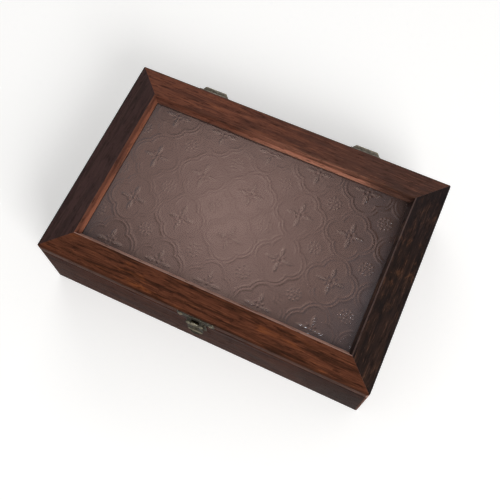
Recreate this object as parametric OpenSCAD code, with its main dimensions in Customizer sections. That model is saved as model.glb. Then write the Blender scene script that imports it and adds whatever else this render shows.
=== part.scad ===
// Wooden jewelry box with a hinged lid of four mitred rails round a figured pane.
// The origin is the middle of the underside. X runs along the front from left to
// right, Y from front to back, Z up. All sizes are in millimetres.

/* [Box] */
// Length of the box along its front
box_l = 250; // [200:1:300]
// Depth of the box from its front face to its back face
box_w = 164; // [130:1:210]
// Height of the base up to the seam
base_h = 56; // [40:1:80]
// Thickness of the base walls
wall_t = 10; // [8:0.5:11]
// Radius of the upright outer corners
corner_r = 1.8; // [0.8:0.1:3]
// Easing of the edges along the seam
seam_ease = 0.8; // [0.2:0.1:0.8]
// Easing of the bottom outer edge
foot_ease = 0.8; // [0.3:0.1:1.5]

/* [Bottom] */
// Thickness of the bottom panel
panel_t = 4; // [3:0.5:6]
// Width of the rebate in the walls that holds the bottom panel
panel_lap = 5; // [3:0.5:6]
// Gap between the panel's edge and its rebate
panel_play = 0.2; // [0.1:0.1:0.5]
// Thickness of the lined card on the bottom
lining_t = 2; // [1:0.5:4]
// Gap between the lined card and the walls
lining_play = 0.5; // [0.3:0.1:1.5]
// Radius of the lined card's corners
lining_r = 2; // [1:0.5:5]

/* [Lid frame] */
// Thickness of the lid rails
lid_t = 10; // [9:0.5:14]
// Width of the lid rails from the outer face to the inner arris
rail_w = 20; // [18:0.5:26]
// Radius of the top outer arris
arris_r = 1.5; // [0.5:0.1:1.7]
// Radius of the top inner arris
inner_arris_r = 0.8; // [0.3:0.1:1.5]
// How far the lip over the glass stands in from the inner arris
lip_w = 2.4; // [1.5:0.1:4]
// Thickness of the lip over the glass
lip_t = 1.6; // [1:0.1:2.4]

/* [Glass] */
// Thickness of the pane
glass_t = 3; // [2:0.5:4]
// Width of pane that the rails cover, measured outwards from the inner arris
glass_lap = 2; // [1.2:0.1:3]
// Gap between the pane's edge and its rebate
glass_play = 0.4; // [0.2:0.1:1]
// Gap between the pane and the lip above it
glass_bed = 0.2; // [0.1:0.1:0.4]

/* [Retaining strips] */
// Thickness of the strips that hold the pane from below
strip_t = 2; // [1.5:0.5:4]
// Gap between the strips and the inner faces of the base walls
strip_gap = 3.5; // [2:0.5:4]
// How far the strips stay behind the edge of the lip
strip_set = 1.4; // [0.5:0.1:2.5]

/* [Brads] */
// Radius of a brad
brad_r = 0.5; // [0.3:0.1:0.7]
// Radius of a brad's head
brad_head_r = 1; // [0.8:0.1:1.5]
// Thickness of a brad's head
brad_head_t = 0.4; // [0.2:0.1:0.6]
// Length of the brads that hold the strips
strip_brad_l = 6; // [4:0.5:8]
// Length of the brads that hold the bottom panel
panel_brad_l = 12; // [8:0.5:20]
// Distance of the outermost brads from the end of their side
brad_end = 36; // [28:1:48]

/* [Hinges] */
// Width of a hinge, which is the length of its barrel
hinge_w = 23; // [18:0.5:32]
// Distance between the middles of the two hinges
hinge_spacing = 124.5; // [80:0.5:160]
// How far the pair of hinges sits to the right of the middle
hinge_shift = -3.2; // [-10:0.1:10]
// Thickness of the leaves
leaf_t = 1; // [0.8:0.1:1.3]
// Height of a leaf's near edge from the seam
leaf_foot = 0.8; // [0.5:0.1:1]
// Height of a leaf from the seam to its far edge
leaf_h = 8.2; // [7.6:0.1:8.4]
// Radius of the knuckles
knuckle_r = 1.6; // [1.4:0.1:2]
// Gap between the knuckles and the back face
knuckle_off = 0.4; // [0.3:0.1:0.8]
// Running gap round a knuckle of the other leaf
knuckle_run = 0.3; // [0.2:0.1:0.4]
// Gap between the ends of two knuckles
knuckle_gap = 0.2; // [0.1:0.1:0.5]
// Radius of the hinge pins
pin_r = 0.75; // [0.6:0.05:0.9]
// Running fit between a pin and its bores
pin_fit = 0.05; // [0.03:0.01:0.09]
// Radius of the closed heads of a pin
pin_head_r = 1.25; // [1.1:0.05:1.5]
// Height of the closed heads of a pin
pin_head_h = 0.7; // [0.5:0.1:1]
// Angle at which the stop tongues meet
stop_angle = 95; // [85:1:110]
// Angle left between the stop tongues at the limit
stop_play = 1; // [0.5:0.5:3]
// Reach of the stop tongues from the pin's axis
tongue_reach = 5.9; // [3.5:0.1:7]
// Width of the stop tongues at their tips
tongue_tip_w = 17; // [12:0.5:18]

/* [Screws] */
// Radius of the round screw heads
screw_head_r = 1.7; // [1.3:0.1:2]
// Height of the round screw heads
screw_head_h = 0.9; // [0.6:0.1:1.2]
// Radius of the screw shanks
screw_r = 0.9; // [0.6:0.1:1]
// Length of the screw shanks
screw_l = 7; // [4:0.5:7.5]
// Gap between a fastener and the hole it sits in
hole_fit = 0.05; // [0.03:0.01:0.1]
// Width of a screw's slot
slot_w = 0.5; // [0.3:0.1:0.7]
// Depth of a screw's slot
slot_d = 0.4; // [0.2:0.1:0.5]
// Distance of the hinge screws from the hinge's side edge
hinge_screw_in = 4.2; // [3:0.1:5]
// Height of the hinge screws from the seam
hinge_screw_up = 5.5; // [5:0.1:6]

/* [Latch plate] */
// Width of the plate on the lid
latch_w = 28; // [22:0.5:32]
// Height of the plate on the lid
latch_h = 7.2; // [6:0.1:7.4]
// Height of the plate's lower edge above the seam
latch_up = 1; // [0.8:0.1:1.1]
// Thickness of the latch plates
latch_t = 0.7; // [0.6:0.1:1]
// Radius of the latch plates' corners
latch_corner_r = 1.2; // [0.6:0.1:2]
// Distance of the screws from the plate's side edge
latch_screw_in = 2.5; // [2.2:0.1:3.2]
// Height of the gussets that carry the plate's knuckles
gusset_h = 2.4; // [1.8:0.1:3]

/* [Hasp] */
// Width of the hasp
hasp_w = 12; // [9:0.5:15]
// Length of the hasp from its pin's axis to its tip
hasp_l = 18; // [16:0.5:24]
// Thickness of the hasp
hasp_t = 0.9; // [0.7:0.1:1.2]
// Radius of the hasp's knuckles
hasp_knuckle_r = 1.3; // [1.1:0.1:1.6]
// Length of the hasp's own knuckle
hasp_knuckle_l = 5.8; // [4:0.1:7]
// Height of the hasp's pin above the seam
hasp_pin_up = 0.6; // [0.4:0.1:0.8]
// Radius of the hasp's pin
hasp_pin_r = 0.6; // [0.5:0.05:0.7]
// Length of the hasp's lifting lip
lip_l = 3; // [2:0.1:4]
// Angle of the hasp's lifting lip
lip_angle = 35; // [20:1:50]
// Gap between the hanging hasp and the tip of its stud
hasp_clear = 0.35; // [0.25:0.05:0.8]

/* [Catch] */
// Width of the plate on the base
catch_w = 15; // [14:0.5:20]
// Height of the plate on the base
catch_h = 12.8; // [10:0.1:16]
// Distance of the plate's upper edge below the seam
catch_down = 2.6; // [2:0.1:4]
// Radius of the stud
stud_r = 2; // [1.5:0.1:2.2]
// Gap between the stud and the hole in the hasp
stud_play = 0.6; // [0.5:0.1:1]
// Height of the stud above its plate
stud_h = 1.2; // [1:0.1:1.5]
// Radius of the countersunk heads of the catch screws
flat_head_r = 1.5; // [1.2:0.1:1.6]

/* [Hidden] */
$fn = 48;

// colours as the photograph shows them
dark_wood = "#3c2c27";
red_wood = "#5a3628";
plain_wood = "#7a5a44";
flannel = "#7c6256";
bronze = "#7a7060";
pane_tint = "#8a7a70";

// sides of the box, by the angle that turns the front to them
front_angle = 0;
right_angle = 90;
back_angle = 180;
left_angle = 270;
function side_l(angle) = angle % 180 == 0 ? box_l : box_w;
function side_reach(angle) = (angle % 180 == 0 ? box_w : box_l) / 2;

// lid section, measured up from the seam and in from the outer face
rebate_h = glass_t + glass_bed;
recess_z = rebate_h + lip_t;
rebate_in = rail_w - glass_lap;
lip_in = rail_w + lip_w;
strip_out = wall_t + strip_gap;
strip_in = lip_in - strip_set;
strip_brad_in = (strip_out + rebate_in) / 2;

// depth of the mitre cuts, more than any rail or wall is wide
mitre_depth = 2 * rail_w;

// hinge section, measured out from the back face and up from the seam
pin_off = knuckle_r + knuckle_off;
hood_in = knuckle_r + knuckle_run;
hood_out = hood_in + leaf_t;
tongue_angle = (stop_angle + stop_play) / 2;
mid_knuckle_l = hinge_w / 3;
hinge_x = [hinge_shift - hinge_spacing / 2, hinge_shift + hinge_spacing / 2];

// latch section, measured out from the front face and up from the seam
hasp_off = latch_t + stud_h + hasp_clear + hasp_t / 2;
hasp_hole_r = stud_r + stud_play;
hasp_shoulder = hasp_knuckle_r + 3 * knuckle_run;
stud_down = catch_down + catch_h / 2;
gusset_top = latch_up + gusset_h;

// overlap that joins two shapes of one solid
weld = 0.3;
// overrun of a cut past a face
cut = 1;

// turn a side's section, drawn inwards and upwards, into a bar cut to its mitres
module mitred_bar(angle, inset, z) {
  l = side_l(angle) / 2 - inset;
  reach = side_reach(angle) - inset;
  depth = mitre_depth - inset;
  rotate([0, 0, angle]) intersection() {
    translate([0, -reach, z]) rotate([90, 0, 90]) linear_extrude(2 * l, center = true) children();
    translate([0, 0, z - cut - strip_t]) linear_extrude(base_h + lid_t + 2 * strip_t)
      polygon([[-l, -reach], [l, -reach], [l - depth, depth - reach], [depth - l, depth - reach]]);
  }
}

// plate in the XY plane with round corners
module round_plate(l, w, r, h) {
  linear_extrude(h) {
    square([l - 2 * r, w], center = true);
    square([l, w - 2 * r], center = true);
    for (x = [-1, 1], y = [-1, 1]) translate([x * (l / 2 - r), y * (w / 2 - r)]) circle(r);
  }
}

// place brads or their holes along one side, two near its ends, pointing up
module at_brads(angle, inset, z) {
  for (end = [-1, 1])
    rotate([0, 0, angle])
      translate([end * (side_l(angle) / 2 - brad_end), inset - side_reach(angle), z]) children();
}

// brad with its head down at the origin and its point up
module brad(l) {
  cylinder(h = l, r = brad_r);
  cylinder(h = brad_head_t, r = brad_head_r);
}

module brad_hole(l) {
  translate([0, 0, -cut]) cylinder(h = l + cut + hole_fit, r = brad_r + hole_fit);
  translate([0, 0, -cut]) cylinder(h = brad_head_t + cut + hole_fit, r = brad_head_r + hole_fit);
}

// place what is drawn at the two screws of each hinge leaf, pointing out of the back
module at_hinge_screws(up) {
  for (x = hinge_x, s = [-1, 1])
    translate([x + s * (hinge_w / 2 - hinge_screw_in), box_w / 2 + leaf_t, base_h + up])
      rotate([-90, 0, 0]) children();
}

module at_latch_screws() {
  for (s = [-1, 1])
    translate([s * (latch_w / 2 - latch_screw_in), -box_w / 2 - latch_t, base_h + latch_up + latch_h / 2])
      rotate([90, 0, 0]) children();
}

module at_catch_screws() {
  for (s = [-1, 1])
    translate([s * (catch_w + 2 * stud_r) / 4, -box_w / 2 - latch_t, base_h - stud_down])
      rotate([90, 0, 0]) children();
}

// round-headed screw, seated at the origin with its head up
module round_screw() {
  ball_r = (screw_head_r * screw_head_r + screw_head_h * screw_head_h) / (2 * screw_head_h);
  difference() {
    union() {
      intersection() {
        translate([0, 0, screw_head_h - ball_r]) sphere(ball_r);
        cylinder(h = screw_head_h, r = screw_head_r);
      }
      translate([0, 0, -screw_l]) cylinder(h = screw_l + weld, r = screw_r);
    }
    translate([0, 0, screw_head_h]) cube([2 * screw_head_r, slot_w, 2 * slot_d], center = true);
  }
}

// clearance for a screw's shank
module screw_hole() {
  translate([0, 0, -screw_l - hole_fit]) cylinder(h = screw_l + cut, r = screw_r + hole_fit);
}

// countersunk screw, its flat head level with the origin
module flat_screw() {
  difference() {
    union() {
      translate([0, 0, -latch_t]) cylinder(h = latch_t, r1 = screw_r, r2 = flat_head_r);
      translate([0, 0, -screw_l]) cylinder(h = screw_l - latch_t + weld, r = screw_r);
    }
    cube([4 * flat_head_r, slot_w, 2 * slot_d], center = true);
  }
}

module flat_screw_hole() {
  translate([0, 0, -latch_t])
    cylinder(h = latch_t, r1 = screw_r + hole_fit, r2 = flat_head_r + hole_fit);
  translate([0, 0, -screw_l - hole_fit]) cylinder(h = screw_l + hole_fit, r = screw_r + hole_fit);
}

// base wall: its section with the rebate for the bottom panel
module wall_section() {
  polygon([[foot_ease, 0], [wall_t - panel_lap, 0], [wall_t - panel_lap, panel_t], [wall_t, panel_t],
    [wall_t, base_h - seam_ease], [wall_t - seam_ease, base_h], [seam_ease, base_h],
    [0, base_h - seam_ease], [0, foot_ease]]);
}

module base_wall(angle) {
  difference() {
    intersection() {
      mitred_bar(angle, 0, 0) wall_section();
      translate([0, 0, -cut]) round_plate(box_l, box_w, corner_r, base_h + 2 * cut);
    }
    at_brads(angle, wall_t - panel_lap / 2, 0) brad_hole(panel_brad_l);
  }
}

module base_front() {
  color(dark_wood) difference() {
    base_wall(front_angle);
    at_catch_screws() flat_screw_hole();
  }
}

module base_back() {
  color(dark_wood) difference() {
    base_wall(back_angle);
    at_hinge_screws(-hinge_screw_up) screw_hole();
  }
}

module base_left() {
  color(dark_wood) base_wall(left_angle);
}

module base_right() {
  color(dark_wood) base_wall(right_angle);
}

// bottom panel, let into the walls from below and level with their feet
module bottom_panel() {
  inset = wall_t - panel_lap + panel_play;
  color(plain_wood) difference() {
    translate([0, 0, panel_t / 2]) cube([box_l - 2 * inset, box_w - 2 * inset, panel_t], center = true);
    for (angle = [front_angle, right_angle, back_angle, left_angle])
      at_brads(angle, wall_t - panel_lap / 2, 0) brad_hole(panel_brad_l);
  }
}

module bottom_brads() {
  color(bronze) for (angle = [front_angle, right_angle, back_angle, left_angle])
    at_brads(angle, wall_t - panel_lap / 2, 0) brad(panel_brad_l);
}

// card covered with flannel, lying loose on the bottom panel
module bottom_lining() {
  inset = wall_t + lining_play;
  color(flannel) translate([0, 0, panel_t])
    round_plate(box_l - 2 * inset, box_w - 2 * inset, lining_r, lining_t);
}

// lid rail: flat top, inner wall, lip over the glass and rebate from below
module rail_section() {
  polygon([[seam_ease, 0], [rebate_in, 0], [rebate_in, rebate_h], [rail_w, rebate_h],
    [rail_w, lid_t - inner_arris_r], [rail_w - inner_arris_r, lid_t],
    [arris_r, lid_t], [0, lid_t - arris_r], [0, seam_ease]]);
  translate([arris_r, lid_t - arris_r]) circle(arris_r);
  translate([rail_w - inner_arris_r, lid_t - inner_arris_r]) circle(inner_arris_r);
  translate([rebate_in, rebate_h]) square([lip_in - rebate_in - lip_t / 2, lip_t]);
  translate([lip_in - lip_t / 2, rebate_h + lip_t / 2]) circle(lip_t / 2);
}

module lid_rail(angle) {
  difference() {
    intersection() {
      mitred_bar(angle, 0, base_h) rail_section();
      translate([0, 0, base_h - cut]) round_plate(box_l, box_w, corner_r, lid_t + 2 * cut);
    }
    at_brads(angle, strip_brad_in, base_h - strip_t) brad_hole(strip_brad_l);
  }
}

module lid_front() {
  color(red_wood) difference() {
    lid_rail(front_angle);
    at_latch_screws() screw_hole();
  }
}

module lid_back() {
  color(red_wood) difference() {
    lid_rail(back_angle);
    at_hinge_screws(hinge_screw_up) screw_hole();
  }
}

module lid_left() {
  color(dark_wood) lid_rail(left_angle);
}

module lid_right() {
  color(dark_wood) lid_rail(right_angle);
}

module glass_pane() {
  inset = rebate_in + glass_play;
  color(pane_tint, 0.6) translate([0, 0, base_h + glass_t / 2])
    cube([box_l - 2 * inset, box_w - 2 * inset, glass_t], center = true);
}

// strip that holds the pane up from below, bradded to its rail
module strip(angle) {
  color(plain_wood) difference() {
    mitred_bar(angle, strip_out, base_h - strip_t) square([strip_in - strip_out, strip_t]);
    at_brads(angle, strip_brad_in, base_h - strip_t) brad_hole(strip_brad_l);
  }
}

module strip_front() {
  strip(front_angle);
}

module strip_back() {
  strip(back_angle);
}

module strip_left() {
  strip(left_angle);
}

module strip_right() {
  strip(right_angle);
}

module strip_brads() {
  color(bronze) for (angle = [front_angle, right_angle, back_angle, left_angle])
    at_brads(angle, strip_brad_in, base_h - strip_t) brad(strip_brad_l);
}

// section of one leaf: plate and hood, with its knuckle or with room for the other leaf's
module leaf_section(knuckle) {
  difference() {
    union() {
      translate([-pin_off, leaf_foot]) square([leaf_t, leaf_h - leaf_foot]);
      intersection() {
        circle(hood_out);
        rotate(tongue_angle) translate([-2 * hood_out, 0]) square(4 * hood_out);
        translate([-pin_off, leaf_foot]) square(4 * hood_out);
      }
      if (knuckle) circle(knuckle_r);
    }
    circle(knuckle ? pin_r + pin_fit : hood_in);
  }
}

// extrude a section along a pin from |x| = from to |x| = to, once if it starts at the middle
module span(from, to) {
  if (from == 0) rotate([90, 0, 90]) linear_extrude(2 * to, center = true) children();
  else for (s = [-1, 1])
    translate([s * (from + to) / 2, 0, 0])
      rotate([90, 0, 90]) linear_extrude(to - from, center = true) children();
}

// stop tongue, its flat face on the plane that meets the other leaf's tongue
module stop_tongue() {
  rotate([tongue_angle, 0, 0]) linear_extrude(leaf_t)
    polygon([[-hinge_w / 2, hood_in + weld], [hinge_w / 2, hood_in + weld],
      [tongue_tip_w / 2, tongue_reach], [-tongue_tip_w / 2, tongue_reach]]);
}

module lid_leaf(x) {
  joint = (mid_knuckle_l + knuckle_gap) / 2;
  color(bronze) difference() {
    translate([x, box_w / 2 + pin_off, base_h]) {
      span(0, joint) leaf_section(false);
      span(joint, hinge_w / 2) leaf_section(true);
      stop_tongue();
    }
    at_hinge_screws(hinge_screw_up) screw_hole();
  }
}

module base_leaf(x) {
  joint = (mid_knuckle_l - knuckle_gap) / 2;
  color(bronze) difference() {
    translate([x, box_w / 2 + pin_off, base_h]) mirror([0, 0, 1]) {
      span(0, joint) leaf_section(true);
      span(joint, hinge_w / 2) leaf_section(false);
      stop_tongue();
    }
    at_hinge_screws(-hinge_screw_up) screw_hole();
  }
}

// pin along X with a closed head at each end
module headed_pin(l, r, head_r, head_h) {
  ball_r = (head_r * head_r + head_h * head_h) / (2 * head_h);
  rotate([0, 90, 0]) cylinder(h = l + weld, r = r, center = true);
  for (s = [-1, 1]) rotate([0, s * 90, 0]) translate([0, 0, l / 2]) intersection() {
    translate([0, 0, head_h - ball_r]) sphere(ball_r);
    cylinder(h = head_h, r = head_r);
  }
}

module hinge_pin(x) {
  color(bronze) translate([x, box_w / 2 + pin_off, base_h])
    headed_pin(hinge_w + knuckle_gap, pin_r, pin_head_r, pin_head_h);
}

module hinge_left_base_leaf() {
  base_leaf(hinge_x[0]);
}

module hinge_right_base_leaf() {
  base_leaf(hinge_x[1]);
}

module hinge_left_lid_leaf() {
  lid_leaf(hinge_x[0]);
}

module hinge_right_lid_leaf() {
  lid_leaf(hinge_x[1]);
}

module hinge_left_pin() {
  hinge_pin(hinge_x[0]);
}

module hinge_right_pin() {
  hinge_pin(hinge_x[1]);
}

module hinge_screws_base() {
  color(bronze) at_hinge_screws(-hinge_screw_up) round_screw();
}

module hinge_screws_lid() {
  color(bronze) at_hinge_screws(hinge_screw_up) round_screw();
}

// put what is drawn about the hasp's pin, with the front outwards along +Y, in its place
module at_hasp_axis() {
  translate([0, -box_w / 2 - hasp_off, base_h + hasp_pin_up]) rotate([0, 0, 180]) children();
}

// section of the plate's knuckles, drawn about the pin, with the gusset that carries them
module latch_knuckle() {
  circle(hasp_knuckle_r);
  polygon([[-hasp_off, latch_up - hasp_pin_up], [0, -hasp_knuckle_r / 2],
    [hasp_knuckle_r / 2, hasp_knuckle_r * 3 / 4],
    [latch_t - hasp_off, gusset_top - hasp_pin_up], [-hasp_off, gusset_top - hasp_pin_up]]);
}

// plate on the lid with the two outer knuckles of the hasp's hinge
module latch_plate() {
  color(bronze) difference() {
    union() {
      translate([0, -box_w / 2, base_h + latch_up + latch_h / 2]) rotate([90, 0, 0])
        round_plate(latch_w, latch_h, latch_corner_r, latch_t);
      at_hasp_axis() span(hasp_knuckle_l / 2 + knuckle_gap, hasp_w / 2) latch_knuckle();
    }
    at_hasp_axis() span(0, hasp_w) circle(hasp_pin_r + pin_fit);
    at_latch_screws() screw_hole();
  }
}

module latch_screws() {
  color(bronze) at_latch_screws() round_screw();
}

module latch_pin() {
  color(bronze) at_hasp_axis()
    headed_pin(hasp_w + knuckle_gap, hasp_pin_r, hasp_knuckle_r * 0.8, hasp_pin_r);
}

// outline of the hasp, hanging down from its pin's axis
module hasp_outline() {
  r = hasp_w / 2;
  square([hasp_knuckle_l, 2 * (hasp_shoulder + weld)], center = true);
  translate([-r, r - hasp_l]) square([hasp_w, hasp_l - r - hasp_shoulder]);
  translate([0, r - hasp_l]) circle(r);
}

// side view of the hasp, drawn outwards and upwards, with its lifting lip
module hasp_profile() {
  straight = hasp_l - lip_l;
  translate([-hasp_t / 2, -straight]) square([hasp_t, straight]);
  translate([hasp_t / 2, -straight]) rotate(-90 + lip_angle)
    translate([0, -hasp_t]) square([2 * lip_l, hasp_t]);
  translate([hasp_t / 2, -straight]) circle(hasp_t);
}

module hasp() {
  color(bronze) at_hasp_axis() difference() {
    union() {
      intersection() {
        span(0, hasp_w) hasp_profile();
        rotate([90, 0, 0]) linear_extrude(2 * hasp_l, center = true) hasp_outline();
      }
      span(0, hasp_knuckle_l / 2) circle(hasp_knuckle_r);
    }
    span(0, hasp_w) circle(hasp_pin_r + pin_fit);
    translate([0, 0, -hasp_pin_up - stud_down]) rotate([90, 0, 0])
      cylinder(h = 4 * hasp_t, r = hasp_hole_r, center = true);
  }
}

// plate on the base that carries the stud
module catch_plate() {
  color(bronze) difference() {
    translate([0, -box_w / 2, base_h - stud_down]) rotate([90, 0, 0])
      round_plate(catch_w, catch_h, latch_corner_r, latch_t);
    at_catch_screws() flat_screw_hole();
    translate([0, -box_w / 2 + cut, base_h - stud_down]) rotate([90, 0, 0])
      cylinder(h = latch_t + 2 * cut, r = stud_r / 2 + hole_fit);
  }
}

// stud with a domed end, riveted through its plate
module catch_stud() {
  dome = stud_r / 4;
  ball_r = (stud_r * stud_r + dome * dome) / (2 * dome);
  color(bronze) translate([0, -box_w / 2, base_h - stud_down]) rotate([90, 0, 0]) {
    cylinder(h = latch_t + weld, r = stud_r / 2);
    translate([0, 0, latch_t]) intersection() {
      cylinder(h = stud_h, r = stud_r);
      translate([0, 0, stud_h - ball_r]) sphere(ball_r);
    }
  }
}

module catch_screws() {
  color(bronze) at_catch_screws() flat_screw();
}

base_front();
base_back();
base_left();
base_right();
bottom_panel();
bottom_brads();
bottom_lining();
hinge_left_base_leaf();
hinge_right_base_leaf();
hinge_left_pin();
hinge_right_pin();
hinge_screws_base();
catch_plate();
catch_stud();
catch_screws();
lid_front();
lid_back();
lid_left();
lid_right();
glass_pane();
strip_front();
strip_back();
strip_left();
strip_right();
strip_brads();
hinge_left_lid_leaf();
hinge_right_lid_leaf();
hinge_screws_lid();
latch_plate();
latch_screws();
latch_pin();
hasp();
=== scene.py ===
import math
import bpy
import bmesh
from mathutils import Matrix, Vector


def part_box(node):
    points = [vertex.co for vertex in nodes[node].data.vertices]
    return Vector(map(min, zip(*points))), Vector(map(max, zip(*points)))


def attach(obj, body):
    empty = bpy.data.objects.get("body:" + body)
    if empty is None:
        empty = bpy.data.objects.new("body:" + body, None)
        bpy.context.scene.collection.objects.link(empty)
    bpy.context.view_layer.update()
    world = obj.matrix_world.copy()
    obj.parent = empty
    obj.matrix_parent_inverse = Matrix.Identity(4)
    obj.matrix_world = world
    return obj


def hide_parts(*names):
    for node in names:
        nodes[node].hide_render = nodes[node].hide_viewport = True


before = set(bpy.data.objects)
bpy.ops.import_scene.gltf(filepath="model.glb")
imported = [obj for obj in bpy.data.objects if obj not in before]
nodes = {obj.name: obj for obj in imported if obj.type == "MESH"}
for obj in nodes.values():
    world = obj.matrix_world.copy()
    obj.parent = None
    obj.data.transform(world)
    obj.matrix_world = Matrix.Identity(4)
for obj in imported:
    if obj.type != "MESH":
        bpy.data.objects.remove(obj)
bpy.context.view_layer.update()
MM = 0.001


# View of the photograph: the box seen from above its right front, a little over half a metre away.
# Place, turn and lens come from a fit to the box's straight edges, and the shift sets the crop.
view = bpy.data.cameras.new("view")
view.sensor_width = 36
view.lens = 53.54
view.shift_x = 0.030
view.shift_y = -0.085
view.clip_start = 0.01
viewer = bpy.data.objects.new("viewer", view)
bpy.context.collection.objects.link(viewer)
viewer.location = (0.0898, -0.1840, 0.5544)
viewer.rotation_euler = [math.radians(turn) for turn in (23.306, 1.358, 24.962)]
bpy.context.scene.camera = viewer


# Base walls: four boards of open-grained wood, mitred and glued, stained almost black-brown.
# The stain is thinner on the arrises, where years of use show a little more of the wood.
class Tone:
    """What a node gives: a value that takes part in sums, a colour, a shader or a geometry."""

    def __init__(self, owner, socket):
        self.owner = owner
        self.socket = socket

    def sum(self, operation, first, second):
        return self.owner.node("ShaderNodeMath", {"operation": operation}, {0: first, 1: second})

    def __add__(self, other):
        return self.sum("ADD", self, other)

    def __radd__(self, other):
        return self.sum("ADD", other, self)

    def __sub__(self, other):
        return self.sum("SUBTRACT", self, other)

    def __rsub__(self, other):
        return self.sum("SUBTRACT", other, self)

    def __mul__(self, other):
        return self.sum("MULTIPLY", self, other)

    def __rmul__(self, other):
        return self.sum("MULTIPLY", other, self)

    def __truediv__(self, other):
        return self.sum("DIVIDE", self, other)

    def __pow__(self, other):
        return self.sum("POWER", self, other)

    def __rpow__(self, other):
        return self.sum("POWER", other, self)

    def __abs__(self):
        return self.sum("ABSOLUTE", self, 0)


class Nodes:
    """Nodes of any kind of tree, made and joined by one method."""

    def __init__(self, tree):
        self.tree = tree

    def node(self, kind, settings=None, values=None, out=0):
        """Make a node with its settings and its sockets' values or links, and give its output out."""
        made = self.tree.nodes.new(kind)
        for setting, value in (settings or {}).items():
            setattr(made, setting, value)
        for socket, value in (values or {}).items():
            self.feed(made.inputs[socket], value)
        return Tone(self, made.outputs[out])

    def feed(self, socket, value):
        """Link or set a socket. A colour gets its fourth number here."""
        if isinstance(value, Tone):
            self.tree.links.new(value.socket, socket)
        elif hasattr(socket.default_value, "__len__") and len(socket.default_value) == 4:
            socket.default_value = (*value[:3], 1)
        else:
            socket.default_value = value

    def cloud(self, at, scale, detail=3.0, rough=0.5, warp=0.0):
        """Noise from 0 to 1, with scale lumps to a unit of length."""
        return self.node("ShaderNodeTexNoise", values={
            "Vector": at, "Scale": scale, "Detail": detail, "Roughness": rough, "Distortion": warp})

    def step(self, value, low, high, start=0.0, end=1.0, curve="SMOOTHSTEP"):
        """A passage from start to end as a value goes from low to high."""
        return self.node("ShaderNodeMapRange", {"interpolation_type": curve}, {
            "Value": value, "From Min": low, "From Max": high, "To Min": start, "To Max": end})

    def mix(self, share, first, second):
        """A share of the second colour laid over the first."""
        return self.node("ShaderNodeMix", {"data_type": "RGBA"}, {0: share, 6: first, 7: second}, out=2)


class Finish(Nodes):
    """A material on one Principled shader, with nodes that vary its colour, gloss and relief."""

    def __init__(self, name, **constants):
        self.material = bpy.data.materials.new(name)
        self.material.use_nodes = True
        super().__init__(self.material.node_tree)
        self.tree.nodes.clear()
        self.surface = self.tree.nodes.new("ShaderNodeBsdfPrincipled")
        self.output = self.tree.nodes.new("ShaderNodeOutputMaterial")
        self.tree.links.new(self.surface.outputs[0], self.output.inputs[0])
        for socket, value in constants.items():
            self.surface.inputs[socket.replace("_", " ")].default_value = value

    def place(self, scale=(1, 1, 1), shift=(0, 0, 0)):
        """Object coordinates, drawn out or pushed along."""
        spot = self.node("ShaderNodeTexCoord", out="Object")
        return self.node("ShaderNodeMapping", values={"Vector": spot, "Scale": scale, "Location": shift})

    def reach(self, axis):
        """How far a point lies along x or y."""
        return self.node("ShaderNodeSeparateXYZ", values={0: self.place()}, out=axis.upper())

    def mark(self, name):
        """A number kept at the mesh's points or faces."""
        return self.node("ShaderNodeAttribute", {"attribute_name": name}, out="Fac")

    def set(self, **tones):
        """Let tones feed the shader's sockets, named with _ for a space."""
        for socket, value in tones.items():
            self.feed(self.surface.inputs[socket.replace("_", " ")], value)

    def relief(self, height, depth):
        """Fine relief in the shading, depth metres deep where height is 1."""
        bump = self.node("ShaderNodeBump", values={"Height": height, "Distance": depth, "Strength": 1.0})
        self.feed(self.surface.inputs["Normal"], bump)


def colour(code):
    """A colour as a screen shows it, such as 5a3628, as the light values that a shader takes."""
    screen = [int(code[i:i + 2], 16) / 255 for i in (0, 2, 4)]
    return [c / 12.92 if c <= 0.04045 else ((c + 0.055) / 1.055) ** 2.4 for c in screen]


def darker(tone, share):
    return [c * share for c in tone]


def eased(mesh, ease, steps=2, angle=25, worn=0.8 * MM, thin=None):
    """Ease a mesh's sharp edges and mark its narrow outer faces as arrises.

    angle is the turn from which an edge is sharp, and worn the width up to which a face is narrow.
    thin is a rule that gives, for a face and its mark, how thin the finish is on it and how much
    painted light or shade it gets.
    """
    level = math.radians(0.5)
    turned_out = math.radians(12)
    made = bmesh.new()
    made.from_mesh(mesh)
    bmesh.ops.remove_doubles(made, verts=made.verts, dist=1e-6)
    bmesh.ops.dissolve_limit(made, angle_limit=level, verts=made.verts, edges=made.edges)
    sharp = [e for e in made.edges
             if len(e.link_faces) == 2 and e.calc_face_angle(0) > math.radians(angle)]
    bmesh.ops.bevel(made, geom=sharp, offset=ease, segments=steps, profile=0.5,
                    affect="EDGES", clamp_overlap=True)
    bmesh.ops.recalc_face_normals(made, faces=made.faces)
    arris = made.faces.layers.float.new("arris")
    for face in made.faces:
        turn = sum(max(0, e.calc_face_angle_signed(0)) for e in face.edges if len(e.link_faces) == 2)
        narrow = 2 * face.calc_area() < worn * face.calc_perimeter()
        face[arris] = 1.0 if narrow and turn > turned_out else 0.0
        if thin:
            face[arris] = thin(face, face[arris])
    made.to_mesh(mesh)
    made.free()
    mesh.shade_smooth()
    mesh.set_sharp_from_angle(angle=math.radians(angle))


def placed(mesh, node, body):
    """Put a finished mesh in the scene in place of a CAD piece, riding on a body."""
    piece = bpy.data.objects.new(mesh.name, mesh)
    bpy.context.collection.objects.link(piece)
    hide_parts(node)
    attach(piece, body)


def dressed(node, finish, body, ease, **easing):
    """A copy of a CAD piece with eased edges and its finish."""
    mesh = nodes[node].data.copy()
    mesh.name = node + "_dressed"
    eased(mesh, ease, **easing)
    mesh.materials.clear()
    mesh.materials.append(finish.material)
    placed(mesh, node, body)


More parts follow.
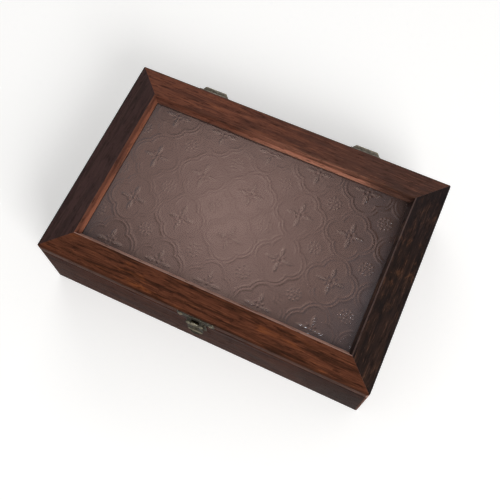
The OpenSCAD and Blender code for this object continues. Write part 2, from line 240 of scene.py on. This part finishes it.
def stained_wood(name, along, dark, middle, streak, offset, thin=None, flecks=0.6, fleck=42,
                 gloss=0.06, fibre=0.6, drawn=6, bare_and_highlight=None, worn_edge=None, painted_shade=None):
    """Open-grained board with its grain along x or y: bands, streaks, fibres and pores under a stain.

    dark, middle and streak are the stain's tones, and offset shifts the grain, so that boards differ.
    flecks is how many streaks show through, fleck how fine and drawn how long they are, fibre how dark
    the fibres are, and gloss how much the board mirrors. thin is the lighter tone laid where the
    mesh's arris mark is above 0, partly thin stain on worn faces and partly a painted highlight, and a
    mark below 0 paints the face dark, a painted shade. bare_and_highlight holds the two stretches along
    the board over which that lighter tone fades in and out again, a painted highlight, and worn_edge
    where across it the top's inner edge gets a lighter band, part of the same painted highlight.
    painted_shade holds the stretch over which the board is painted darker, a painted shade where less
    sheen falls, and that darker tone.
    """
    finish = Finish(name, Specular_IOR_Level=gloss)
    across = "y" if along == "x" else "x"

    def grain(narrow):
        """Places on the board, pressed together across its grain."""
        scale = (1, narrow, narrow) if along == "x" else (narrow, 1, narrow)
        return finish.place(scale=scale, shift=offset)

    bands = finish.cloud(grain(12), 26, detail=5, rough=0.6, warp=1.0)
    patches = finish.cloud(finish.place(shift=offset), 22, detail=3)
    streaks = finish.cloud(grain(drawn), fleck, detail=4, rough=0.65, warp=0.6)
    fibres = finish.cloud(grain(14), 52, detail=5, rough=0.8, warp=0.3)
    pores = finish.step(finish.cloud(grain(7), 115, detail=3, rough=0.7, warp=0.3), 0.52, 0.7)
    tone = finish.mix(finish.step(bands, 0.4, 0.56), dark, middle)
    lower = 0.3 * flecks
    streaky = finish.step(streaks * 0.7 + patches * 0.5, 0.8 - lower, 1.0 - lower)
    tone = finish.mix(streaky, tone, streak)
    # Painted shade: over one stretch the board is painted darker, where less sheen falls on it.
    if painted_shade:
        start, end, painted_shade_tone = painted_shade
        painted_shade_share = finish.step(finish.reach(along), start, end, 0.0, 0.8 + 0.6 * (patches - 0.5))
        tone = finish.mix(painted_shade_share, tone, painted_shade_tone)
    tone = finish.mix(finish.step(fibres, 0.32, 0.5, fibre, 0.0), tone, darker(dark, 0.4))
    pale = [1.5 * c + 0.02 for c in streak]
    tone = finish.mix(finish.step(fibres, 0.52, 0.7, 0.0, fibre * 0.6), tone, pale)
    # The lighter tone is partly thin stain on worn faces and partly a painted highlight.
    if thin:
        mark = finish.mark("arris")
        thin_and_lit_share = mark * finish.step(patches + 0.6 * fibres, 0.35, 0.8)
        # Painted highlight: a lighter band along the top's inner edge.
        if worn_edge:
            worn = 0.4 * finish.step(finish.reach(across), *worn_edge)
            thin_and_lit_share = thin_and_lit_share + worn * finish.step(fibres, 0.35, 0.6)
        # Painted highlight: the lighter tone shows fully only over these stretches along the board.
        if bare_and_highlight:
            spot = finish.reach(along)
            shown = 0.9 * finish.step(spot, *bare_and_highlight[0]) * finish.step(spot, *bare_and_highlight[1], 1.0, 0.0)
            thin_and_lit_share = thin_and_lit_share * (0.1 + shown)
        tone = finish.mix(thin_and_lit_share, tone, thin)
        # Painted shade: faces marked below 0, the outer arrises and sides, are painted dark.
        shaded_sides = finish.step(0 - mark, 0.1, 0.9, 0.0, 0.8)
        tone = finish.mix(shaded_sides, tone, darker(dark, 0.7))
    finish.set(Base_Color=finish.mix(pores * 0.75, tone, darker(dark, 0.3)),
               Roughness=0.36 + 0.22 * fibres + 0.2 * pores)
    finish.relief(fibres * 0.6 - pores * 0.9 + bands * 0.4, 0.12 * MM)
    return finish


base_dark = colour("2a140e")
base_middle = colour("442418")
base_streak = colour("5a2f1d")
base_thin = colour("573527")
# The front and back walls are painted darker toward their right ends, a painted shade.
wood_along_x = stained_wood("dark wood along the front", "x", base_dark, base_middle, base_streak,
                            (0.3, 0, 0), base_thin, flecks=0.3, gloss=0.02,
                            painted_shade=(55 * MM, 110 * MM, colour("22130f")))
wood_along_y = stained_wood("dark wood along the sides", "y", base_dark, base_middle, base_streak,
                            (0, 0.7, 0), base_thin, flecks=0.3, gloss=0.02)
wood_ease = 0.15 * MM
for wall in ("base_front", "base_back"):
    dressed(wall, wood_along_x, "base", wood_ease)
for wall in ("base_left", "base_right"):
    dressed(wall, wood_along_y, "base", wood_ease)


# Bottom: a thin panel let into the walls' rebate, thinly stained, held from below by brads.
# The panel was never polished, so its grain is dull and its stain patchy.
plain_wood = stained_wood("thinly stained wood", "x", colour("4b3426"), colour("6a4c39"),
                          colour("806048"), (0.1, 0.4, 0))
dressed("bottom_panel", plain_wood, "base", wood_ease)


# Lining: a card covered with taupe flannel, cut to lie loose on the bottom.
# The cloth turns over the card's edge, so its rim is round, and its nap lies unevenly.
card_round = 0.8 * MM
flannel = Finish("flannel", Roughness=0.95, Sheen_Weight=0.5, Sheen_Roughness=0.5,
                 Specular_IOR_Level=0.1)
brushed = flannel.cloud(flannel.place(), 90, detail=5, rough=0.7)
flannel.set(Base_Color=flannel.mix(brushed, colour("6e4d40"), colour("8c6757")))
nap = flannel.cloud(flannel.place(), 1800, detail=3)
flannel.relief(nap + 2 * flannel.cloud(flannel.place(), 260, detail=2), 0.25 * MM)
dressed("bottom_lining", flannel, "base", card_round, steps=4)


# Base fittings: the hinges' lower leaves and pins and the catch, small castings of antique bronze.
# The bronze is browned nearly black and rubbed bright on its edges.
def antique_bronze(name, dark, light, bare_and_highlight, metal):
    """Browned bronze: a patina from dark to light, metallic in part, and rubbed back to the metal on its
    edges.
    """
    finish = Finish(name)
    patina = finish.cloud(finish.place(), 420, detail=5, rough=0.65)
    rub = finish.mark("arris") * finish.step(patina, 0.3, 0.6)
    tone = finish.mix(finish.step(patina, 0.35, 0.7), dark, light)
    finish.set(Base_Color=finish.mix(rub, tone, bare_and_highlight), Metallic=metal + (1 - metal) * rub,
               Roughness=0.5 - 0.15 * rub + 0.2 * patina)
    finish.relief(patina, 0.06 * MM)
    return finish


bronze = antique_bronze("hinge bronze", colour("696154"), colour("9c917e"), colour("b4a88c"), 0.3)
# The catch and latch get a darker copy of the bronze, partly a painted shade, as the box's front faces
# away from the light.
latch_bronze_and_shade = antique_bronze("latch bronze", colour("2a2620"), colour("50493a"), colour("8a7f68"), 0.8)
casting_ease = 0.14 * MM
rubbed = 0.3 * MM
for fitting in ("hinge_left_base_leaf", "hinge_right_base_leaf", "hinge_left_pin", "hinge_right_pin"):
    dressed(fitting, bronze, "base", casting_ease, worn=rubbed)
for fitting in ("catch_plate", "catch_stud", "catch_screws"):
    dressed(fitting, latch_bronze_and_shade, "base", casting_ease, worn=rubbed)


# Screws and brads: round-headed slotted screws in the leaves and plates, driven until tight, so that
# their slots stand at all angles, and brads with small domed heads, punched flush.
class Build(Nodes):
    """Geometry nodes that make one kind of piece from named sizes."""

    def __init__(self, name):
        super().__init__(bpy.data.node_groups.new(name, "GeometryNodeTree"))
        self.tree.interface.new_socket("Geometry", in_out="INPUT", socket_type="NodeSocketGeometry")
        self.tree.interface.new_socket("Geometry", in_out="OUTPUT", socket_type="NodeSocketGeometry")
        self.entry = self.tree.nodes.new("NodeGroupInput")
        self.sizes = {}

    def size(self, name, value):
        """A named input of the tree, with the value that it will get."""
        kind = "NodeSocketInt" if isinstance(value, int) else "NodeSocketFloat"
        named = self.tree.interface.new_socket(name, in_out="INPUT", socket_type=kind)
        self.sizes[named.identifier] = value
        return Tone(self, self.entry.outputs[name])

    def vector(self, x=0.0, y=0.0, z=0.0):
        return self.node("ShaderNodeCombineXYZ", values={0: x, 1: y, 2: z})

    def position(self):
        """The three coordinates of each point."""
        spot = self.node("ShaderNodeSeparateXYZ", values={0: self.node("GeometryNodeInputPosition")})
        return [Tone(self, output) for output in spot.socket.node.outputs]

    def moved(self, geometry, offset):
        return self.node("GeometryNodeSetPosition", values={"Geometry": geometry, "Offset": offset})

    def make(self, geometry, finish, points=()):
        """The mesh that the nodes make, from loose points where there are any."""
        whole = self.node("GeometryNodeRealizeInstances", values={0: geometry})
        coated = self.node("GeometryNodeSetMaterial", values={
            "Geometry": whole, "Material": finish.material})
        self.tree.links.new(coated.socket, self.tree.nodes.new("NodeGroupOutput").inputs[0])
        start = bpy.data.meshes.new(self.tree.name)
        start.from_pydata(points, [], [])
        holder = bpy.data.objects.new(self.tree.name, start)
        bpy.context.collection.objects.link(holder)
        builder = holder.modifiers.new("build", "NODES")
        builder.node_group = self.tree
        for identifier, value in self.sizes.items():
            builder[identifier] = value
        ready = holder.evaluated_get(bpy.context.evaluated_depsgraph_get())
        mesh = bpy.data.meshes.new_from_object(ready)
        holder.modifiers.remove(builder)
        bpy.data.objects.remove(holder)
        bpy.data.meshes.remove(start)
        mesh.name = self.tree.name
        return mesh


def seats(node, axis, way, head_h):
    """Where the fasteners of a CAD node sit: under the heads, on each one's own axis."""
    loose = bmesh.new()
    loose.from_mesh(nodes[node].data)
    bmesh.ops.remove_doubles(loose, verts=loose.verts, dist=1e-6)
    left = set(loose.verts)
    places = []
    while left:
        island = grow = {left.pop()}
        while grow:
            grow = {e.other_vert(v) for v in grow for e in v.link_edges} - island
            island = island | grow
        left -= island
        low = [min(v.co[i] for v in island) for i in range(3)]
        high = [max(v.co[i] for v in island) for i in range(3)]
        place = [(a + b) / 2 for a, b in zip(low, high)]
        place[axis] = (high if way > 0 else low)[axis] - way * head_h
        places.append(place)
    loose.free()
    return sorted(places)


screw_ease = 0.05 * MM
screw = dict(head_r=1.7 * MM, head_h=0.9 * MM, rim_h=0.2 * MM, shank_r=0.9 * MM, shank_l=7 * MM,
             slot_w=0.5 * MM, slot_d=0.4 * MM)
brad = dict(head_r=1 * MM, head_h=0.4 * MM, rim_h=0.15 * MM, shank_r=0.5 * MM)


def fasteners(node, finish, body, axis, way, head_r, head_h, rim_h, shank_r, shank_l, seed,
              slot_w=0, slot_d=0):
    """A group of like screws, or of brads, which have no slot, each turned at random.

    axis is what they lie along, 1 for y and 2 for z, and way is 1 where their heads point up that axis
    and -1 where they point down it. The head is a disc whose upper face is lifted to a dome, with the
    slot cut out of it, and the shank runs back from it.
    """
    build = Build(node + "_driven")
    head_r = build.size("Head radius", head_r)
    rim = build.size("Height of the head's rim", rim_h)
    dome = build.size("Height of the dome", head_h - rim_h)
    shank_r = build.size("Shank radius", shank_r)
    shank_l = build.size("Shank length", shank_l)
    head = build.node("GeometryNodeMeshCylinder", {"fill_type": "TRIANGLE_FAN"}, {
        "Vertices": 32, "Side Segments": 1, "Fill Segments": 6, "Radius": head_r, "Depth": rim})
    x, y, z = build.position()
    out = (x * x + y * y) ** 0.5 / head_r
    upper = build.step(z, 0, rim / 4, curve="LINEAR")
    head = build.moved(head, build.vector(z=rim / 2 + upper * dome * (1 - out * out)))
    if slot_w:
        slot = build.node("GeometryNodeMeshCube", values={"Size": build.vector(
            head_r * 3, build.size("Slot width", slot_w), 2 * build.size("Slot depth", slot_d))})
        slot = build.moved(slot, build.vector(z=rim + dome))
        head = build.node("GeometryNodeMeshBoolean", {"operation": "DIFFERENCE", "solver": "EXACT"},
                          {"Mesh 1": head, "Mesh 2": slot})
    shank = build.node("GeometryNodeMeshCylinder", values={
        "Vertices": 20, "Radius": shank_r, "Depth": shank_l})
    shank = build.moved(shank, build.vector(z=rim / 2 - shank_l / 2))
    one = build.tree.nodes.new("GeometryNodeJoinGeometry")
    for part in (head, shank):
        build.tree.links.new(part.socket, one.inputs[0])
    spin = build.node("FunctionNodeRandomValue", {"data_type": "FLOAT"},
                      {2: 0.0, 3: 2 * math.pi, "Seed": build.size("Seed", seed)}, out=1)
    driven = build.node("GeometryNodeInstanceOnPoints", values={
        "Points": Tone(build, build.entry.outputs["Geometry"]), "Instance": Tone(build, one.outputs[0])})
    upright = {1: -math.pi / 2 * way, 2: 0 if way > 0 else math.pi}[axis]
    for turn in (build.vector(x=upright), build.vector(z=spin)):
        driven = build.node("GeometryNodeRotateInstances", values={
            "Instances": driven, "Rotation": turn, "Local Space": True})
    mesh = build.make(driven, finish, seats(node, axis, way, head_h))
    eased(mesh, screw_ease, angle=35, worn=rubbed)
    placed(mesh, node, body)


fasteners("hinge_screws_base", bronze, "base", axis=1, way=1, seed=3, **screw)
fasteners("hinge_screws_lid", bronze, "lid", axis=1, way=1, seed=8, **screw)
fasteners("latch_screws", latch_bronze_and_shade, "lid", axis=1, way=-1, seed=5, **screw)
fasteners("bottom_brads", bronze, "base", axis=2, way=-1, seed=1, shank_l=11.6 * MM, **brad)
fasteners("strip_brads", bronze, "lid", axis=2, way=-1, seed=2, shank_l=5.6 * MM, **brad)


# Lid frame: four wide rails, mitred at the corners and rebated from below for the pane.
# The long rails are coloured red-brown and the short ones nearly black, a painted sheen, since the
# long rails' grain runs across the light, and the lip is lighter red wood, partly a painted highlight.
rail_wide = 19.6 * MM
inner_arris = 0.8 * MM
side_reach = 4 * MM
front_reach = 1 * MM
lid_half = (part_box("lid_front")[1][0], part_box("lid_right")[1][1])
opening = [half - rail_wide for half in lid_half]
# Each rail's tone after its offset is its lighter one, partly thin stain and partly a painted highlight;
# the front's pale tone lies mostly on its inner arris.
rails = {
    "lid_front": stained_wood("front rail", "x", colour("3d2317"), colour("613827"), colour("864b2b"),
                              (0.13, 0.02, 0), colour("d2a898"), flecks=0.55, gloss=0.03),
    "lid_back": stained_wood("back rail", "x", colour("54342a"), colour("704333"), colour("884f34"),
                             (0.41, 0.3, 0), colour("b27861"), flecks=0.45,
                             # Painted highlight: the lighter tone and the band on the top show over part
                             # of the length; the rail is also painted darker toward the right, a painted
                             # shade.
                             bare_and_highlight=((-45 * MM, 5 * MM), (55 * MM, 86 * MM)),
                             worn_edge=(64.5 * MM, 62 * MM),
                             painted_shade=(-60 * MM, 90 * MM, colour("3a2a24"))),
    "lid_left": stained_wood("left rail", "y", colour("2f211e"), colour("3c2a27"), colour("493129"),
                             (0.2, 0.9, 0), colour("ac6a50"), flecks=0.3, fibre=0.25),
    "lid_right": stained_wood("right rail", "y", colour("1c1411"), colour("2d1f19"), colour("6c4730"),
                              (0.6, 0.5, 0), colour("8a7068"), flecks=0.65, fleck=120, drawn=2.5,
                              # Painted shade: the right rail is painted darker toward the back.
                              painted_shade=(-5 * MM, 55 * MM, colour("221a19"))),
}


def thin_stain(face, arris):
    """How light a face of the frame is painted, below 0 where it is painted dark.

    The wall and lip round the pane take thinner stain and are partly a painted highlight, but at the
    right they stay dark, a painted shade, since that side faces away from the light. The inner arrises
    are worn lighter, most so along the front, partly a painted highlight. The other arrises show a
    little wood where they are mitred, and the outer arrises and the sides are painted dark, a painted
    shade, less so at the front.
    """
    middle = face.calc_center_median()
    in_x, in_y = opening[0] - abs(middle.x), opening[1] - abs(middle.y)
    inside = min(in_x, in_y)
    right = middle.x > opening[0] - side_reach
    left = middle.x < side_reach - opening[0]
    front = middle.y < front_reach - opening[1]
    # Wall and lip: thinner stain and partly a painted highlight; dark at the right, a painted shade.
    if inside > 0:
        wall = abs(face.normal.z) < 0.5
        return 0.1 if right else 0.95 if wall else 0.6
    # Inner arrises: worn, and partly a painted highlight, strongest at the front.
    if inside > -inner_arris:
        return 0.75 if front else 0.6 if right else 0.35 if left else 0.1
    if abs(face.normal.x * face.normal.y) > 0.05:
        return 0.35 * arris
    # Outer arrises and sides: painted dark, a painted shade.
    if inside < inner_arris - rail_wide or abs(face.normal.z) < 0.3:
        return -0.6 if front else -1.0
    return 0.0


for rail, finish in rails.items():
    dressed(rail, finish, "lid", wood_ease, thin=thin_stain)


# Pane: figured glass pressed with flowers in rings of four lobes, set under the rails' lip.
# Each ring is a double line that touches its neighbours, and a cluster of beads fills the gap between
# four. The flowers and beads are a little grainy, and are painted paler, a painted sheen. Sizes are in
# millimetres here.
pane_low, pane_high = [[side / MM for side in corner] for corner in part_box("glass_pane")]
pane_step = 0.56
lap = 4.6
lap_fade = 3
flower_pitch = (38.7, 37.2)
flower_first = (-81.9, 18.5)
lobe_out = 8.4
lobe_r = 8.7
line_gap = 2.3
line_w = 0.75
line_h = 0.042
leaf_from = 1.6
leaf_to = 10.5
leaf_w = 2.0
leaf_least = 0.02
leaf_clear = 0.5
leaf_round = 0.8
leaf_h = 0.1
furrow_w = 0.5
furrow_share = 0.6
bud_out = 2.6
bud_w = 0.9
heart_w = 0.8
heart_share = 1.3
bead_rings = ((2.3, 6), (4.5, 10))
bead_w = 0.7
bead_h = 0.06

glass = Finish("figured glass", Transmission_Weight=0.72, IOR=1.5, Roughness=0.04)
pressed = glass.mark("pressed")
smoke = glass.mix(glass.cloud(glass.place(), 12), colour("7a635c"), colour("88716a"))
# Painted sheen: the pressed flowers and beads are painted paler than the plain glass.
glass.set(Base_Color=glass.mix(0.42 * pressed, smoke, colour("b8a49a")))
glass.relief(pressed * (glass.cloud(glass.place(), 1000, detail=1) - 0.5), 0.1 * MM)
casting_shadow = glass.node("ShaderNodeLightPath", out="Is Shadow Ray")
clear = glass.node("ShaderNodeBsdfTransparent", values={"Color": (0.6, 0.55, 0.52)})
lit_through = glass.node("ShaderNodeMixShader", values={
    0: casting_shadow, 1: Tone(glass, glass.surface.outputs[0]), 2: clear})
glass.tree.links.new(lit_through.socket, glass.output.inputs[0])


def ridge(distance, width):
    """The height of a rounded ridge of height 1 at a distance from its crest."""
    return math.e ** (0 - (distance / width) * (distance / width))


def hypot(a, b):
    return (a * a + b * b) ** 0.5


def lesser(a, b):
    return a.sum("MINIMUM", a, b)


def greater(a, b):
    return a.sum("MAXIMUM", a, b)


def off_lattice(value, pitch, first, shift):
    """Distance from the nearest point of a row of points, pushed along by shift of the pitch."""
    along = (value - first) / pitch + shift + 0.5
    return (along.sum("FRACT", along, 0) - 0.5) * pitch


press = Build("pane")
pitch_x = press.size("Flower pitch along X", flower_pitch[0])
pitch_y = press.size("Flower pitch along Y", flower_pitch[1])
line_height = press.size("Height of the lines", line_h)
leaf_height = press.size("Height of the leaves", leaf_h)
bead_height = press.size("Height of the beads", bead_h)
wide, deep = [high - low for low, high in zip(pane_low[:2], pane_high[:2])]
plate = press.node("GeometryNodeMeshGrid", values={
    "Size X": wide, "Size Y": deep,
    "Vertices X": int(wide / pane_step) + 1, "Vertices Y": int(deep / pane_step) + 1})
x, y = press.position()[:2]
flower_x = abs(off_lattice(x, pitch_x, flower_first[0], 0))
flower_y = abs(off_lattice(y, pitch_y, flower_first[1], 0))
ring = lesser(hypot(flower_x - lobe_out, flower_y), hypot(flower_x, flower_y - lobe_out)) - lobe_r
figure = line_height * (ridge(ring, line_w) + ridge(ring - line_gap, line_w))
along = greater(flower_x, flower_y)
across = lesser(flower_x, flower_y)
swell = press.step(along, leaf_from, leaf_to, 0, math.pi, curve="LINEAR")
leaf = greater(swell.sum("SINE", swell, 0) ** leaf_round * leaf_w, leaf_least)
raised = press.step(leaf, leaf_least, leaf_clear) * press.step(across / leaf, 1, 0)
figure = figure + leaf_height * raised * (1 - furrow_share * ridge(across, furrow_w))
bud = ridge(hypot(flower_x - bud_out, flower_y - bud_out), bud_w)
heart = ridge(hypot(flower_x, flower_y), heart_w)
figure = figure + bead_height * (bud + heart_share * heart)
cluster_x = off_lattice(x, pitch_x, flower_first[0], 0.5)
cluster_y = off_lattice(y, pitch_y, flower_first[1], 0.5)
away = hypot(cluster_x, cluster_y)
turn = away.sum("ARCTAN2", cluster_y, cluster_x)
for bead_ring, beads in bead_rings:
    arc = off_lattice(turn, 2 * math.pi / beads, 0, 0) * away
    bead = ridge(hypot(away - bead_ring, arc), bead_w)
    figure = figure + bead_height * bead
    raised = raised + bead
figure = figure + bead_height * ridge(away, bead_w)
shore = lesser(pane_high[0] - lap - abs(x), pane_high[1] - lap - abs(y))
plate = press.moved(plate, press.vector(z=figure * press.step(shore, 0, lap_fade, curve="LINEAR")))
plate = press.node("GeometryNodeStoreNamedAttribute", values={
    "Geometry": plate, "Name": "pressed", "Value": raised})
pane_mesh = press.make(plate, glass)
closed = bmesh.new()
closed.from_mesh(pane_mesh)
bmesh.ops.scale(closed, vec=(MM, MM, MM), verts=closed.verts)
lift = pane_high[2] * MM - max(v.co.z for v in closed.verts)
bmesh.ops.translate(closed, vec=(0, 0, lift), verts=closed.verts)
rim = [e for e in closed.edges if e.is_boundary]
walls = bmesh.ops.extrude_edge_only(closed, edges=rim)["geom"]
for point in [g for g in walls if isinstance(g, bmesh.types.BMVert)]:
    point.co.z = pane_low[2] * MM
bmesh.ops.contextual_create(closed, geom=[g for g in walls if isinstance(g, bmesh.types.BMEdge)])
bmesh.ops.recalc_face_normals(closed, faces=closed.faces)
closed.to_mesh(pane_mesh)
closed.free()
pane_mesh.shade_smooth()
pane_mesh.set_sharp_from_angle(angle=math.radians(50))
placed(pane_mesh, "glass_pane", "lid")


# Strips: four thin strips under the rails, which hold the pane up in its rebate.
# They are of the bottom's thinly stained wood and are bradded to the rails.
for strip in ("strip_front", "strip_back", "strip_left", "strip_right"):
    dressed(strip, plain_wood, "lid", wood_ease)


# Lid fittings: the hinges' upper leaves with their stop tongues, and the latch plate with its pin.
# They are cast and browned like the base's, and screwed to the lid's back and front.
for fitting in ("hinge_left_lid_leaf", "hinge_right_lid_leaf"):
    dressed(fitting, bronze, "lid", casting_ease, worn=rubbed)
for fitting in ("latch_plate", "latch_pin"):
    dressed(fitting, latch_bronze_and_shade, "lid", casting_ease, worn=rubbed)


# Hasp: a cast tongue that hangs from the latch plate, with a hole for the stud and a lip to lift it by.
# It is of the same browned bronze and swings on the plate's pin.
dressed("hasp", latch_bronze_and_shade, "hasp", casting_ease, worn=rubbed)


# Floor and light: a pale sweep under the box in a pale room, a soft lamp at the right front and one
# behind. Mirrors alone see the ceiling's uneven light, with one soft warm spot, which lights up the
# middle of the pane, and three small windows, which give the pressed flowers their glints.
floor_half = 6.0
floor_drop = 0.5 * MM
floor_glow = 0.3
corners = ((-1, -1), (1, -1), (1, 1), (-1, 1))
floor = bpy.data.meshes.new("floor")
floor.from_pydata([(x * floor_half, y * floor_half, -floor_drop) for x, y in corners],
                  [], [(0, 1, 2, 3)])
ground = bpy.data.objects.new("floor", floor)
bpy.context.collection.objects.link(ground)
paper = Finish("paper", Roughness=0.9, Specular_IOR_Level=0.1)
paper.set(Base_Color=paper.mix(paper.cloud(paper.place(), 3), colour("f4f3f1"), colour("f8f7f5")))
looked_at = paper.node("ShaderNodeLightPath", out="Is Camera Ray")
glow = paper.node("ShaderNodeEmission", values={"Color": (1, 1, 1), "Strength": looked_at * floor_glow})
both = paper.node("ShaderNodeAddShader", values={0: Tone(paper, paper.surface.outputs[0]), 1: glow})
paper.tree.links.new(both.socket, paper.output.inputs[0])
floor.materials.append(paper.material)

world = bpy.data.worlds.new("studio")
world.use_nodes = True
bpy.context.scene.world = world


class Air(Nodes):
    """The nodes of the light that surrounds the box."""

    def ray(self, kind):
        return self.node("ShaderNodeLightPath", out=kind)

    def sight(self):
        """The direction in which a ray looks."""
        return self.node("ShaderNodeTexCoord", out="Generated")

    def lean(self, direction):
        """How far a ray leans in a direction, as a cosine."""
        return self.node("ShaderNodeVectorMath", {"operation": "DOT_PRODUCT"},
                         {0: self.sight(), 1: direction}, out="Value")

    def toward(self, direction, edge, fall=1.0):
        """A soft spot of light in one direction, whose edge is given as a cosine."""
        return 1 - self.step(self.lean(direction), 1.0, edge, curve="LINEAR") ** fall


air = Air(world.node_tree)
room = 0.38
overhead = air.toward((-0.187, 0.343, 0.921), 0.973, 0.55)
windows = 26 * air.toward((0.08, 0.06, 0.995), 0.991)
windows = windows + 30 * air.toward((0.17, 0.2, 0.965), 0.994)
windows = windows + 18 * air.toward((0.19, 0.4, 0.897), 0.995)
ceiling = 2.4 * air.cloud(air.sight(), 5, detail=2) - 1.1
ceiling = ceiling + air.step(air.lean((-0.8, 0.5, 0)), 0.3, 0.9, 0.0, 0.8)
ceiling = ceiling + 3.3 * overhead + windows
ceiling = ceiling.sum("MAXIMUM", ceiling, 0)
mirrored = ceiling + air.step(air.lean((0, 0, 1)), 0.8, 0.5) * (1.0 - ceiling)
glossy = air.ray("Is Glossy Ray")
seen = air.ray("Is Camera Ray") + air.ray("Is Transmission Ray")
brightness = room + glossy * (mirrored - room)
brightness = brightness + seen * (1 - brightness)
warm_spot = air.mix(air.step(overhead, 0.0, 0.4), (0.75, 0.85, 1), (1, 0.7, 0.62))
background = world.node_tree.nodes["Background"]
air.feed(background.inputs["Color"], air.mix(glossy, (1, 1, 1), warm_spot))
air.feed(background.inputs["Strength"], brightness)


def softbox(name, at, wide, high, watts):
    """A rectangular lamp that faces the box."""
    lamp = bpy.data.lights.new(name, "AREA")
    lamp.shape = "RECTANGLE"
    lamp.size = wide
    lamp.size_y = high
    lamp.energy = watts
    holder = bpy.data.objects.new(name, lamp)
    bpy.context.collection.objects.link(holder)
    holder.location = at
    holder.rotation_euler = (-Vector(at)).to_track_quat("-Z", "Y").to_euler()


softbox("key", (0.9, -0.8, 0.9), 0.7, 0.7, 14)
softbox("back", (-0.9, 1.3, 0.9), 1.2, 0.6, 6)

bpy.context.scene.view_settings.view_transform = "Standard"
